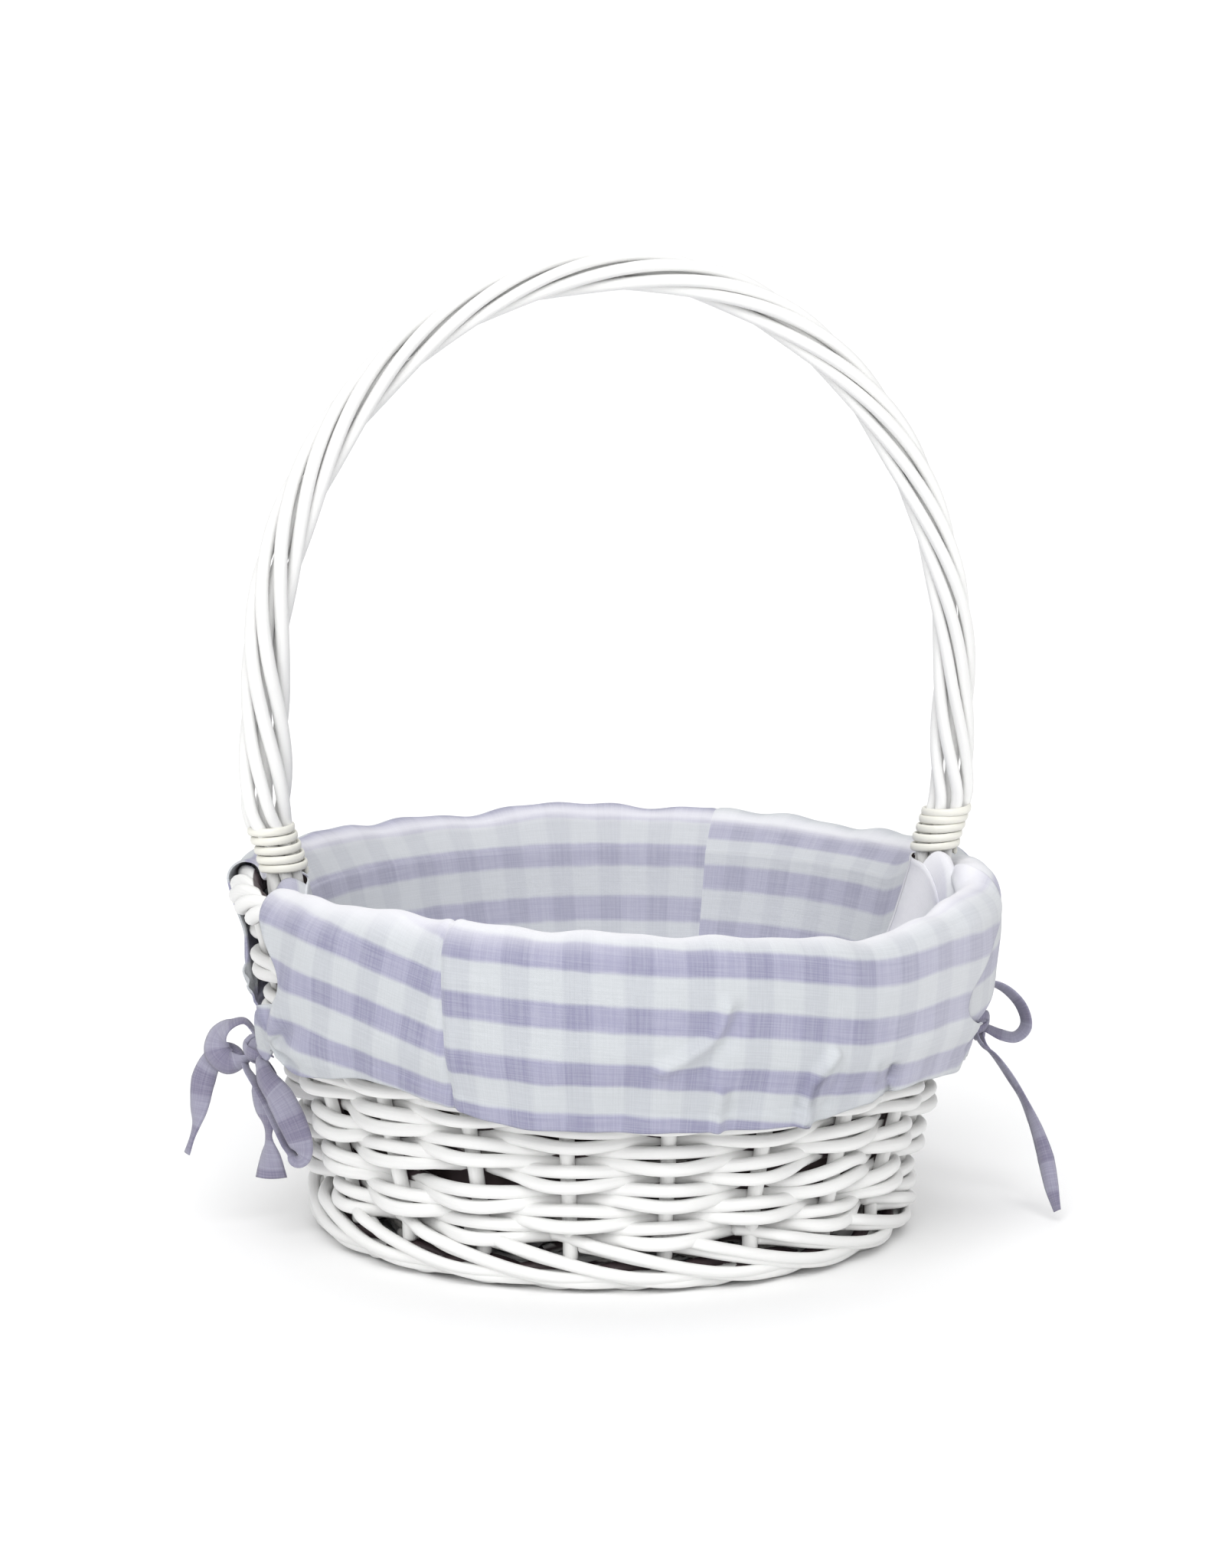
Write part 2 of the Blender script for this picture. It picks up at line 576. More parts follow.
def rod_bare(points, inside):
    """How bare of paint each point is. Little paint got between the rods, or into the slit under
    the left bow."""
    radial = np.hypot(points[:, 0], points[:, 1])
    depth = wall_r(points[:, 2]) + inside - radial
    degrees = np.degrees(np.arctan2(points[:, 1], points[:, 0])) % 360
    slit = ease(degrees, 173, 180) * (1 - ease(degrees, 197, 203)) * ease(points[:, 2], 66, 74)
    lit = ease(radial - wall_r(points[:, 2]), -0.5, 4.0)
    return np.maximum(ease(depth, 0.0, 3.0), 0.75 * slit * (1 - lit))


def willow_piece(name, node, swept, bare=0.0):
    """A painted willow piece for a node. bare says how bare of paint its points are."""
    points, faces, uv = swept
    bare = np.broadcast_to(bare, len(points))
    piece = make_object(name, points, faces, uv, WHITE, "basket", [("bare", bare)])
    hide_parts(node)


def make_stake(k):
    """One upright rod of the wall."""
    angle = (k - 1) * STAKE_STEP
    z = np.linspace(12, 116, 60)
    r = wall_r(z) + wobble(z, 208, 0.25)
    thick = 2.75 + wobble(z, 208, 0.12)
    swept = tube(polar(r, angle + wobble(z, 208, 0.004), z), thick, thick,
                 up=(-math.sin(angle), math.cos(angle), 0), sides=12)
    willow_piece(f"stake_{k:02d}", f"side_stake_{k:02d}", swept, rod_bare(swept[0], 0.4))


# Places where two rows stand apart: (degrees, row below, half width in degrees, gap to each side).
OPENINGS = [(217, 3, 10, 1.8), (234, 3, 12, 2.2), (309, 2, 8, 2.4), (297, 3, 8, 1.4),
            (203, 5, 5, 1.2), (318, 5, 6, 1.3), (262, 2, 6, 0.9), (320, 3, 6, 1.2), (247, 5, 5, 0.8)]


def apart_shift(angle, k):
    """How far row k is pushed up or down by the openings near it."""
    degrees = np.degrees(angle) % 360
    shift = 0 * angle
    for at, below, wide, gap in OPENINGS:
        away, way = (k - below - 1, 1) if k > below else (below - k, -1)
        shift = shift + way * gap * 0.5 ** away * hump(degrees, at, wide)
    return shift


def make_weaver(k):
    """One row: a pair of rods, side by side in front of a stake and behind the next one."""
    z0 = row_z[k - 1]
    flip = 1 if k % 2 == 0 else -1
    a = np.linspace(0, 2 * math.pi, STAKES * 18, endpoint=False)
    wave = np.cos(STAKES / 2 * a)
    row = z0 + wobble(a, 2 * math.pi, 0.3, 9) + apart_shift(a, k)
    parts = []
    for side in (1, -1):
        outside = np.maximum(flip * wave, 0)
        apart = side * (1.85 + 1.05 * outside + wobble(a, 2 * math.pi, 0.22, 12))
        z = row + apart
        r = (wall_r(z0) + flip * SWING * wave + wobble(a, 2 * math.pi, 0.25, 8)
             + side * 0.35 * np.cos(STAKES / 2 * a + k))
        tall = 2.45 + wobble(a, 2 * math.pi, 0.12, 12)
        deep = 2.45 + wobble(a, 2 * math.pi, 0.12, 9)
        parts.append(tube(polar(r, a, z), deep, tall, sides=12, closed=True))
    swept = joined(parts)
    willow_piece(f"weaver_row_{k:02d}", f"weaver_{k:02d}", swept, rod_bare(swept[0], -1.2))


def twisted_ring(r, z, swing, twists, phase, steps):
    """Angle, radius and height of a rod that winds round a ring."""
    a = np.linspace(0, 2 * math.pi, steps, endpoint=False)
    roll = a * twists + phase
    return a, r + swing * np.cos(roll), z + swing * np.sin(roll)


for k in range(1, STAKES + 1):
    make_stake(k)
for k in range(1, ROWS + 1):
    make_weaver(k)


# ---------------------------------------------------------------- rim border, foot and base
RIM_R, RIM_SWING, RIM_TWISTS = 134, 3.5, 15
RIM_Z = middle_z("rim_border_rod_1")
FOOT_R, FOOT_SWING, FOOT_TWISTS = 102, 2.9, 12
FOOT_Z = middle_z("foot_rope_rod_1")


# Where the hand-made rim sags: (degrees, width in degrees, height).
RIM_DIPS = [(325, 45, -3.2), (75, 28, -2.0), (130, 20, -1.4), (301, 13, -4.4), (36, 20, -3.0),
            (103, 8, -2.4), (119, 8, -1.8), (92, 6, 1.3)]


def rim_dip(angle):
    """The hand-made rim sags here and there, mostly at the front right."""
    degrees = np.degrees(angle)
    return sum(height * hump((degrees - at + 180) % 360 - 180, 0, width)
               for at, width, height in RIM_DIPS)


def make_rope(name, node, r, z0, swing, twists, phase, thick, steps, dips):
    """One rod of the rim border, which has dips, or of the rope round the foot."""
    a, radial, z = twisted_ring(r, z0, swing, twists, phase, steps)
    if dips:
        z = z + rim_dip(a)
    size = thick + wobble(a, 2 * math.pi, 0.12, 9)
    points, faces, uv = tube(polar(radial, a, z), size, size, sides=12, closed=True)
    points[:, 2] = np.maximum(points[:, 2], 0.05)
    radial_points = np.hypot(points[:, 0], points[:, 1])
    if dips:
        inside = ease(r - radial_points, 0.5, 4.0)
    else:
        inside = np.maximum(ease(r - 1.0 - radial_points, 0, 3), ease(points[:, 2] - z0, 0.2, 2.6))
    willow_piece(name, node, (points, faces, uv), inside * 0.8)


for k in range(1, 4):
    make_rope(f"rim_rod_{k}", f"rim_border_rod_{k}", RIM_R, RIM_Z, RIM_SWING, RIM_TWISTS,
              2 * math.pi * k / 3, 2.75, 540, True)
for k in range(1, 3):
    make_rope(f"foot_rod_{k}", f"foot_rope_rod_{k}", FOOT_R, FOOT_Z, FOOT_SWING, FOOT_TWISTS,
              math.pi * k, 2.6, 480, False)


HEEL_R = 103.5
# The two rods of a pair: start and length in degrees, first and last height, and outer radius.
HEEL_PAIR = [(-3, 56, 20.6, 6.0, 110.0), (2, 54, 16.2, 3.7, 108.0)]


def make_heels():
    """Pairs of rods that come down beside each stake and lie along the foot, over the next pair."""
    parts = []
    for k in range(STAKES):
        for start, length, top_z, low_z, low_r in HEEL_PAIR:
            t = np.linspace(0, 1, 60)
            a = k * STAKE_STEP + np.radians(start + rng.normal() * 0.5 + length * t)
            z = top_z + (low_z - top_z) * ease(t, -0.1, 0.7) + 0.25 * np.sin(6 * t + k)
            r = HEEL_R + (low_r - HEEL_R) * ease(t, 0, 0.2) - 5.5 * ease(t, 0.55, 1.0)
            size = 2.4 * (1 - 0.2 * t) + rng.normal() * 0.08
            parts.append(tube(polar(r, a, z), size, size, up=(0, 0, 1), sides=12))
    points, faces, uv = joined(parts)
    points[:, 2] = np.maximum(points[:, 2], 0.05)
    willow_piece("foot_heels", "foot_heel_rods", (points, faces, uv))


def shaded_end(points):
    """Bare willow at the outer ends of the base, deep behind the foot."""
    return ease(np.hypot(points[:, 0], points[:, 1]), 84, 90) * ease(points[:, 2], 5, 8)


def make_base():
    """The woven base: a hoop, spokes across it and rings woven over and under the spokes."""
    a = np.linspace(0, 2 * math.pi, 300, endpoint=False)
    hoop_z = 2.81
    points, faces, uv = tube(polar(91.0 + wobble(a, 2 * math.pi, 0.2), a, hoop_z), 3.6, 3.55,
                             sides=14, closed=True)
    points[:, 2] = np.maximum(points[:, 2], 0.0)
    willow_piece("hoop", "base_hoop", (points, faces, uv))
    spoke_z = middle_z("base_spokes")
    parts = []
    for k in range(STAKES):
        angle = (k + 0.5) * STAKE_STEP
        r = np.linspace(16, 95, 24)
        parts.append(tube(polar(r, angle, spoke_z + wobble(r, 160, 0.15)), 2.2, 2.2, sides=10))
    swept = joined(parts)
    willow_piece("spokes", "base_spokes", swept,
                 np.maximum(ease(swept[0][:, 2], 9, 11), shaded_end(swept[0])))
    parts = []
    for k, r in enumerate(np.arange(18, 91, 5.2)):
        wave = np.cos(STAKES / 2 * a) * (1 if k % 2 else -1)
        z = spoke_z + 3.9 * wave * min(1, 0.35 + r / 60)
        parts.append(tube(polar(r + wobble(a, 2 * math.pi, 0.3), a, z), 1.95, 1.95, sides=8,
                          closed=True))
    swept = joined(parts)
    willow_piece("base_weave", "base_rings", swept,
                 np.maximum(ease(swept[0][:, 2], 10, 14), shaded_end(swept[0])))


make_heels()
make_base()


# ---------------------------------------------------------------- handle
LEG_IN, LEG_TOP_Z, LEG_BEND_Z, LEG_STRAIGHT_Z = 10.7, 108, 131, 160
LEG_RIM_R, HALF_W, ARCH_Z, ARCH_RISE = 120.3, 127, 203, 147
TWIST_RODS, HANDLE_TURNS = 6, 3.5
LASHING_TURNS = 5


def leg_r(z):
    """Distance of a leg from the middle at a height below the arch."""
    low = wall_r(np.minimum(z, LEG_TOP_Z)) - LEG_IN
    bend = np.interp(z, [LEG_TOP_Z, LEG_BEND_Z], [wall_r(LEG_TOP_Z) - LEG_IN, LEG_RIM_R])
    lean = LEG_RIM_R + (HALF_W - LEG_RIM_R) * (1 - np.cos(math.pi * np.clip(
        (z - LEG_BEND_Z) / (LEG_STRAIGHT_Z - LEG_BEND_Z), 0, 1))) / 2
    return np.where(z <= LEG_TOP_Z, low, np.where(z <= LEG_BEND_Z, bend, lean))


def handle_path(foot_z):
    """Centre line from the left foot over the arch to the right foot."""
    z = np.arange(foot_z, ARCH_Z, 3.0)
    left = np.stack([-leg_r(z), 0 * z, z], 1)
    a = np.linspace(math.pi, 0, 150)
    arch = np.stack([HALF_W * np.cos(a), 0 * a, ARCH_Z + ARCH_RISE * np.sin(a)], 1)
    return np.vstack([left, arch, (left * (-1, 1, 1))[::-1]])


def make_handle():
    """The bow at the handle's core, and the rods wound round it."""
    core = tube(handle_path(60), 2.5, 2.5, up=(0, 1, 0), sides=12)
    willow_piece("handle_core", "handle_bow", core, 0.2)
    path = handle_path(118)
    along = lengths(path)
    whole = along[-1]
    way = unit(np.gradient(path, axis=0))
    out = np.cross(way, (0, 1, 0))
    for k in range(1, TWIST_RODS + 1):
        roll = (2 * math.pi * (k / TWIST_RODS + HANDLE_TURNS * along / whole)
                + wobble(along, 2 * whole, 0.10, 8))
        left = 1 - ease(along, 60, 330)
        loose = 1.15 * (1 - ease(path[:, 2], 168, 210)) + 0.25 + 1.05 * left
        spread = 4.75 + ease(path[:, 2], 142, 160) * loose
        spread = spread + np.abs(wobble(along, 2 * whole, 0.4, 9)) * ease(path[:, 2], 150, 175)
        size = 2.2 + 0.28 * left * ease(path[:, 2], 143, 175) + wobble(along, 2 * whole, 0.1, 6)
        line = path + spread[:, None] * (np.cos(roll)[:, None] * out
                                         + np.sin(roll)[:, None] * np.array([0, 1, 0]))
        swept = tube(line, size, size, up=(0, 1, 0), sides=12)
        willow_piece(f"wound_rod_{k}", f"handle_rod_{k}", swept)


def make_lashing(name, node, side):
    """Flat wraps of split cane round one foot of the handle."""
    whole = 2 * math.pi * LASHING_TURNS
    a = np.linspace(0, whole, 200)
    z = 134.4 + 3.3 * a / (2 * math.pi) + wobble(a, whole, 0.25, 5)
    r = 8.2 + wobble(a, whole, 0.15, 9)
    line = np.stack([side * leg_r(z) + r * np.cos(a), r * np.sin(a), z], 1)
    points, faces, uv = tube(line, 0.8, 1.55, up=(0, 0, 1), sides=10)
    piece = make_object(name, points, faces, uv, CANE, "basket",
                        [("bare", np.zeros(len(points)))])
    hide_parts(node)


make_handle()
make_lashing("cane_lashing_left", "lashing_left", -1)
make_lashing("cane_lashing_right", "lashing_right", 1)


# ---------------------------------------------------------------- liner
CLOTH = 0.7
OVER_R = 8.0
SEAM_Z = 116
BAG_IN = 9.2
HEM_DEEP, HEM_STEP = 6.5, 0.45
DEGREE = 2.42  # length of one degree round the cuff
HEM_S = 76  # the edge curves end at this distance from the crest
BAG_FOLD_Z, BAG_DROP = 21.0, 98  # where the bag's wall meets its floor, and the way down to it


def cuff_profile():
    """Radius and height of the cuff's cloth against the distance s from the rim's crest."""
    rim = [(RIM_R + OVER_R * math.cos(a), RIM_Z + OVER_R * math.sin(a))
           for a in np.radians(np.arange(150, -1, -15))]
    curve = smooth([(wall_r(SEAM_Z) - BAG_IN, SEAM_Z)] + rim
                   + [(142.3, 114.5), (141, 102), (139.6, 90), (135.5, 79), (132, 69), (129.9, 62),
                      (128.5, 57)], 10)
    s = lengths(curve)
    s = s - s[np.argmax(curve[:, 1])]
    return s, curve[:, 0], curve[:, 1]


PROFILE_S, PROFILE_R, PROFILE_Z = cuff_profile()
SEAM_S = PROFILE_S[0]


def cloth_frame(s):
    """Radius, height and outward normal of the plain cuff at distance s from the crest."""
    r, z = np.interp(s, PROFILE_S, PROFILE_R), np.interp(s, PROFILE_S, PROFILE_Z)
    step = 0.8
    dr = np.interp(s + step, PROFILE_S, PROFILE_R) - np.interp(s - step, PROFILE_S, PROFILE_R)
    dz = np.interp(s + step, PROFILE_S, PROFILE_Z) - np.interp(s - step, PROFILE_S, PROFILE_Z)
    size = np.maximum(np.hypot(dr, dz), 1e-6)
    return r, z, -dz / size, dr / size


def ridge(angle, s, line, height, width):
    """A crease of cloth along a curve through (degrees, distance) points."""
    line = smooth(line, 5) * (DEGREE, 1)
    x, y = angle * DEGREE, s
    best = np.full(np.shape(x), 1e9)
    for p, q in zip(line, line[1:]):
        d = q - p
        t = np.clip(((x - p[0]) * d[0] + (y - p[1]) * d[1]) / (d @ d), 0, 1)
        best = np.minimum(best, np.hypot(x - p[0] - t * d[0], y - p[1] - t * d[1]))
    return height * hump(best, 0, width)


def gather(angle, s, at, count, height, size, phase=0.0):
    """Folds that fan out from a point where the cloth is pulled together."""
    x, y = (angle - at[0]) * DEGREE, s - at[1]
    distance = np.hypot(x, y)
    swell = (distance / size) * np.exp(1 - distance / size)
    return height * swell * np.cos(count * np.arctan2(y, x) + phase)


def faded(angle, s):
    """The dye is paler where the cloth is rolled over the rim."""
    front = 0.95 * hump(s, -2.5, 6.5) * ease(angle % 360, 186, 200)
    inside = 0.75 * hump(s, -6, 3.6) * (1 - ease(angle % 360, 176, 190))
    turned = np.where(angle < 100, angle + 360, angle)
    at_leg = 0.82 * hump(turned, 354, 10) * ease(-s, -6, 2) * (1 - ease(-s, 45, 75))
    washed = 0.22 * ease(angle % 360, 290, 318) * ease(s, 0, 12)
    return np.clip(np.maximum(np.maximum(front, inside), np.maximum(at_leg, washed))
                   + 0.18 * ease(-s, 8, 14), 0, 1)


def sheet_mesh(name, angle, s, place, pattern, below_seam=False):
    """A cloth sheet on a grid of (degrees, distance). place gives points and pattern gives UVs."""
    points = place(angle, s)
    faces, corner = grid(*angle.shape)
    middle = sum(angle[a, b] for a, b in corner) / 4
    uv = np.stack([pattern(angle[a, b], s[a, b], middle) for a, b in corner], 1)
    pale = faded(angle, SEAM_S - s if below_seam else s)
    return make_object(name, points.reshape(-1, 3), faces, uv.reshape(-1, 2) * MM, GINGHAM,
                       "liner", [("faded", pale.ravel())])


FRONT_SEAM, BACK_SEAM = 235.5, 62.5
# Side edges of the front cuff, as (distance from the crest, degrees): out from the leg over the
# rim, on down the wall, and back to the tab that the tie is sewn to.
LEFT_EDGE = [(-27, 185.4), (-12, 185.4), (-7, 187), (-3, 193), (0, 196.5), (16, 199), (33, 202.5),
             (42, 203), (51, 199.5), (57, 194), (62, 190), (67, 187.5), (71, 187), (76, 190),
             (80, 199)]
RIGHT_EDGE = [(-27, 354.6), (-12, 354.6), (-6, 352), (0, 344), (14, 338), (29, 329), (43, 323.5),
              (53, 326), (62, 341), (70, 354), (76, 348), (80, 340)]
# Lower edges, as (degrees, distance from the crest).
FRONT_HEM = [(186, 71.5), (189, 70), (193, 65), (197, 61.5), (205, 67), (222, 62), (242, 72),
             (264, 75), (287, 73.5), (308, 65), (326, 68), (345, 71), (353, 72.5)]
BACK_HEM = [(-34, 60), (-24, 64), (-15, 67), (-4, 69.5), (5, 70.5), (14, 69), (24, 70), (45, 74),
            (70, 72), (95, 75), (120, 73), (145, 74), (163, 68), (169, 67), (173, 70.5),
            (178, 71.5)]
# Creases of the front cuff: height, half width, and a line of (degrees, distance) points.
CREASES = [(3.0, 2.4, [(276, 26), (274, 38), (267, 49)]), (-1.2, 3.2, [(278, 29), (273, 50)]),
           (2.8, 2.4, [(293, 44), (290, 57), (290, 75)]), (-1.0, 3.0, [(295, 50), (292, 76)]),
           (2.0, 2.0, [(276, 58), (276, 76)]), (-1.8, 1.6, [(306, 53), (307, 68)]),
           (1.0, 3.0, [(302, 50), (303, 68)])]


def curve_at(x, table):
    """Value at x of the smooth curve through the points of a table."""
    line = smooth(table, 10)
    return np.interp(x, line[:, 0], line[:, 1])


def front_pattern(angle, s, middle):
    """Cloth coordinates of the front cuff. Its bands slant, and those of the left panel bend."""
    arc = np.radians(angle - FRONT_SEAM) * 138.5
    slant = 0.135 * (np.clip(angle, 236, 335) - 280)
    bend = 15 * ((angle - 195) / 40) ** 2 - 1
    left = middle < FRONT_SEAM
    v = np.where(left, s - bend + 5.0, s - slant)
    u = np.where(left, arc + 0.22 * s + 9, arc)
    return np.stack([u, v], -1)


def back_pattern(angle, s, middle):
    """Cloth coordinates of the back half, inside and outside."""
    arc = np.radians(angle - BACK_SEAM) * 130
    right = middle < BACK_SEAM
    v = np.where(right, 0.5 - s, 8.5 - s)
    u = np.where(right, arc + 0.03 * s, arc + 6 - 0.02 * s)
    return np.stack([u, v], -1)


def crest_shape(angle, s):
    """Lumps along the rolled rim, from the twisted rods under the cloth."""
    near = hump(s, 1, 9)
    lump = (0.55 * np.sin(np.radians(angle) * 21 + 1.0) + 0.4 * np.sin(np.radians(angle) * 37)
            + 0.35 * np.sin(np.radians(angle) * 11 + 2.2))
    return near * lump


def puff(angle, s):
    """Slack cloth that stands off the rim: beside the right leg, and along the front left."""
    along = np.interp(angle, [190, 200, 222, 238, 250, 268, 285], [0, 4, 4.2, 4, 2.6, 1.2, 0])
    left = along * hump(s, -3, 7.5)
    turned = np.where(angle < 100, angle + 360, angle)
    right = 4.5 * hump(turned, 348, 7) * hump(s, -4, 8)
    right -= 2.2 * hump(turned, 341, 2.4) * hump(s, -4, 3.5)
    return np.where(angle > 190, left, 0) + right


def off_leg(angle):
    """Degrees from the nearer leg."""
    return np.minimum(np.abs(angle - 180), np.minimum(angle % 360, 360 - angle % 360))


def near_leg(angle, span):
    """1 in front of a leg, falling to 0 at span degrees to either side of it."""
    off = off_leg(angle)
    return np.where(off < span, (1 + np.cos(np.pi * np.minimum(off, span) / span)) / 2, 0)


def bag_r(angle, z):
    """Radius of the bag: it follows the wall and hangs slack over each leg."""
    along = wall_r(z) - BAG_IN
    past = leg_r(z) - 8.0 - 0.12 * np.clip(128 - z, 0, 28)
    span = np.where((angle > 0) & (angle < 90), 14.0, 20.0)
    return along - np.maximum(0, along - past) * near_leg(angle, span) * ease(z, 45, 70)


def seam_line(angle):
    """Radius and height of the seam where the bag is sewn to the cuffs: higher over the legs."""
    z = SEAM_Z + 15.0 * (1 - ease(off_leg(angle), 4, 21))
    return bag_r(angle, z), z


def inside_run(angle, s, points):
    """From the rim inwards the cuff runs straight to the seam, slack where it covers a leg."""
    start = -7.0
    share = np.clip((start - s) / (start - SEAM_S), 0, 1)
    r0, z0 = np.interp(start, PROFILE_S, PROFILE_R), np.interp(start, PROFILE_S, PROFILE_Z)
    r1, z1 = seam_line(angle)
    r = r0 + (r1 - r0) * share
    slack = 4.0 * near_leg(angle, 24) + 4.5 * hump(angle, 350.5, 6)
    z = z0 + (z1 - z0) * share + slack * np.sin(math.pi * share)
    line = polar(r, np.radians(angle), z)
    kept = (1 - ease(share, 0, 0.35))[..., None]
    return np.where((share > 0)[..., None], line + (points - line) * kept, points)


def fall(angle, s):
    """How far the cuff follows the rim's dip: less at the hem and at the seam with the bag."""
    return rim_dip(np.radians(angle)) * (1 - 0.3 * ease(s, 30, 76)) * ease(s, SEAM_S, -6)


def on_cuff(angle, s, push):
    """Points that stand off the plain cuff by push."""
    r, z, nr, nz = cloth_frame(s)
    points = inside_run(angle, s, polar(r + nr * push, np.radians(angle), z + nz * push))
    points[..., 2] += fall(angle, s)
    return points


def place_front(angle, s):
    """Points of the front cuff, with its folds, creases, gathers, hem and seam."""
    low = ease(s, 20, 76) * (1 - ease(angle, 320, 334))
    rad = np.radians(angle)
    push = crest_shape(angle, s) + puff(angle, s)
    push = push + low * (0.9 * np.sin(rad * 9 + 0.6) + 0.6 * np.sin(rad * 17 + s * 0.05)
                         + 0.35 * np.sin(rad * 41 + s * 0.09))
    for height, width, line in CREASES:
        push += ridge(angle, s, line, height, width)
    push += gather(angle, s, (196, 58), 9, 1.7, 16, 0.5) * ease(angle, 192, 200)
    push += gather(angle, s, (338, 58), 9, 0.45, 14, 1.4) * (1 - ease(angle, 336, 345))
    push += HEM_STEP * ease(s - curve_at(angle, FRONT_HEM) + HEM_DEEP, -0.4, 0.5)
    push -= 0.9 * hump(angle, FRONT_SEAM, 0.45)
    push += 0.35 * hump(np.abs(angle - FRONT_SEAM), 1.1, 0.7)
    push += 1.5 * ease(angle, 316, 328) * ease(s, -14, -4)
    push -= 3.2 * ease(angle, 322, 336) * ease(s, 46, 64)
    return on_cuff(angle, s, push)


def place_back(angle, s):
    """Points of the back cuff, which lies under the front cuff at the right."""
    low = ease(s, 20, 76)
    rad = np.radians(angle)
    push = crest_shape(angle + 40, s) + puff(angle, s)
    push = push + low * (1.0 * np.sin(rad * 8 + 0.2) + 0.7 * np.sin(rad * 19 + s * 0.05)
                         + 0.4 * np.sin(rad * 37 + s * 0.09))
    push = push * ease(angle, -12, 8) + puff(angle, s) * (1 - ease(angle, -12, 8))
    push -= (0.5 + 3.2 * ease(s, 46, 64)) * (1 - ease(angle, -8, 6))
    push += gather(angle, s, (168, 58), 9, 1.2, 16, 0.5) * (1 - ease(angle, 166, 175))
    push -= 5.0 * ease(s, 8, 34) * ease(angle, 138, 166)
    push += HEM_STEP * ease(s - curve_at(angle, BACK_HEM) + HEM_DEEP, -0.4, 0.5)
    push -= 0.5 * hump(angle, BACK_SEAM, 0.45)
    return on_cuff(angle, s, push)


def cuff_grid(first_edge, last_edge, hem, seam, columns, rows):
    """Grid of (degrees, distance) between two edge curves, with one column along the seam.

    columns are the counts before and after the seam."""
    share = np.linspace(0, 1, rows)[:, None]
    nominal = SEAM_S + share * (HEM_S - SEAM_S)
    a0, a1 = curve_at(nominal, first_edge), curve_at(nominal, last_edge)
    before = a0 + (seam - a0) * np.linspace(0, 1, columns[0])[None, :]
    after = seam + (a1 - seam) * np.linspace(0, 1, columns[1])[None, 1:]
    angle = np.hstack([before, after])
    s = SEAM_S + share * (curve_at(angle, hem) - SEAM_S)
    return angle, s


angle, s = cuff_grid(LEFT_EDGE, RIGHT_EDGE, FRONT_HEM, FRONT_SEAM, (110, 310), 110)
front = sheet_mesh("cuff_front_cloth", angle, s, place_front, front_pattern)
thicken(front, CLOTH)
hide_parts("liner_cuff_front")

BACK_RIGHT = [(-27, 5.4), (-12, 5.4), (-7, 4.6), (-4.5, -6), (-2, -16), (3, -24), (12, -30),
              (26, -38), (40, -43), (52, -40), (60, -34), (80, -30)]
BACK_LEFT = [(-27, 174.6), (-12, 174.6), (-6, 172), (0, 168), (20, 166), (45, 167), (52, 168.5),
             (58, 170.5), (64, 173.5), (68, 176), (72, 176.5), (76, 174), (80, 171)]
angle, s = cuff_grid(BACK_RIGHT, BACK_LEFT, BACK_HEM, BACK_SEAM, (230, 250), 110)
back = sheet_mesh("cuff_back_cloth", angle, s, place_back, back_pattern)
thicken(back, CLOTH)
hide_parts("liner_cuff_back")


def place_bag(angle, drop):
    """Points of the bag's wall. drop runs from 0 at the seam to BAG_DROP at the floor's edge."""
    top = seam_line(angle)[1] + 0.8
    z = top - drop * (top - BAG_FOLD_Z) / BAG_DROP
    rad = np.radians(angle)
    folds = ease(drop, 2, 60) * (1.2 + 0.8 * np.sin(rad * 7) + 0.6 * np.sin(rad * 15 + 1)
                                 + 0.3 * np.sin(rad * 33 + drop * 0.04))
    return polar(bag_r(angle, z) - 0.2 - np.maximum(folds, 0) * 0.7, rad, z)


def bag_pattern(angle, drop, middle):
    """The cuffs' patterns run on into the bag."""
    s = SEAM_S - drop
    return np.where((middle > 180)[..., None], front_pattern(angle, s, middle),
                    back_pattern(angle, s, middle))


angle, drop = np.meshgrid(np.r_[np.linspace(0, BACK_SEAM, 84),
                                np.linspace(BACK_SEAM, FRONT_SEAM, 232)[1:],
                                np.linspace(FRONT_SEAM, 360, 167)[1:]],
                          np.linspace(0, BAG_DROP, 60))
bag = sheet_mesh("bag_wall_cloth", angle, drop, place_bag, bag_pattern, below_seam=True)
thicken(bag, CLOTH, backing=SHADE)
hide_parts("liner_bag")


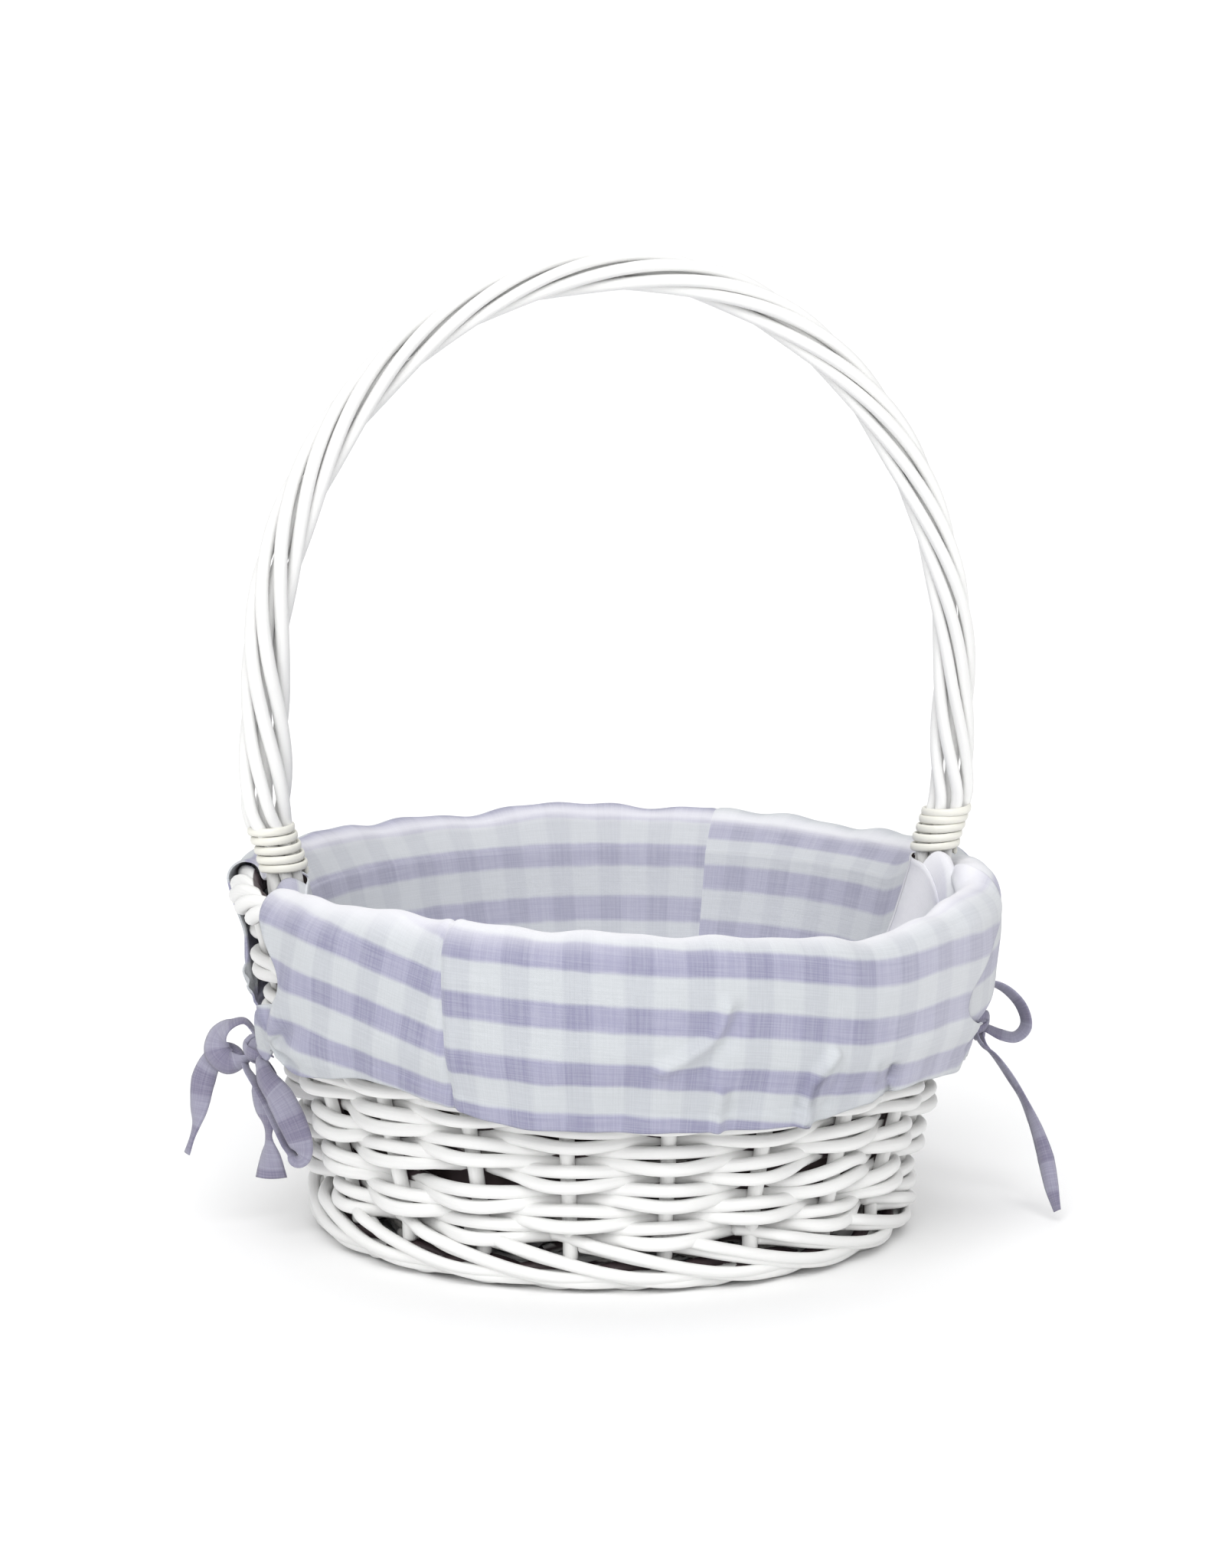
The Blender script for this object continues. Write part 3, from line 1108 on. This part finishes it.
def make_bag_floor():
    """A disc of cloth with low folds that lies on the base."""
    angle, share = np.meshgrid(np.linspace(0, 360, 181), np.linspace(0.001, 1, 40))
    rad = np.radians(angle)
    r = bag_r(angle, BAG_FOLD_Z) * share
    z = 20.6 + 0.5 * ease(share, 0.9, 1.0) + 0.25 * np.sin(r * 0.11 + 3 * np.cos(rad * 2))
    points = polar(r, rad, z)
    faces, corner = grid(*angle.shape)
    flat = points[..., :2]
    uv = np.stack([flat[a, b] for a, b in corner], 1).reshape(-1, 2) * MM
    piece = make_object("bag_floor_cloth", points.reshape(-1, 3), faces, uv, GINGHAM, "liner")
    thicken(piece, CLOTH)
    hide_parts("liner_bag")
    return piece


floor_cloth = make_bag_floor()


# ---------------------------------------------------------------- floor and light
def plain(name, colour, roughness):
    """An even, dull material for the floor."""
    n = Nodes(name)
    n.fixed({"Base Color": colour, "Roughness": roughness, "Specular IOR Level": 0.1})
    return n.material


def make_floor():
    """A wide pale floor: it runs past the top of the picture, so there is no horizon."""
    reach_m = 40
    mesh = bpy.data.meshes.new("floor")
    mesh.from_pydata([(x * reach_m, y * reach_m, 0) for x, y in ((-1, -1), (1, -1), (1, 1), (-1, 1))],
                     [], [(0, 1, 2, 3)])
    mesh.materials.append(plain("pale_floor", (0.97, 0.97, 0.97, 1), 0.9))
    floor = bpy.data.objects.new("floor", mesh)
    bpy.context.scene.collection.objects.link(floor)


def wide_sun(name, azimuth, elevation, spread, brightness):
    """A very soft light as wide as a studio softbox; brightness is what a white card would show."""
    data = bpy.data.lights.new(name, "SUN")
    data.angle = math.radians(spread)
    data.energy = math.pi * brightness
    light = bpy.data.objects.new(name, data)
    light.rotation_euler = (-direction(azimuth, elevation)).to_track_quat("-Z", "Y").to_euler()
    bpy.context.scene.collection.objects.link(light)


make_floor()
wide_sun("top_front_light", azimuth=-15, elevation=40, spread=60, brightness=0.69)
wide_sun("top_back_light", azimuth=170, elevation=66, spread=60, brightness=0.28)
world = bpy.data.worlds.new("studio")
bpy.context.scene.world = world
world.use_nodes = True
world.node_tree.nodes["Background"].inputs[0].default_value = (1.0, 1.0, 1.0, 1)
world.node_tree.nodes["Background"].inputs[1].default_value = 0.50
bpy.context.scene.view_settings.view_transform = "Standard"
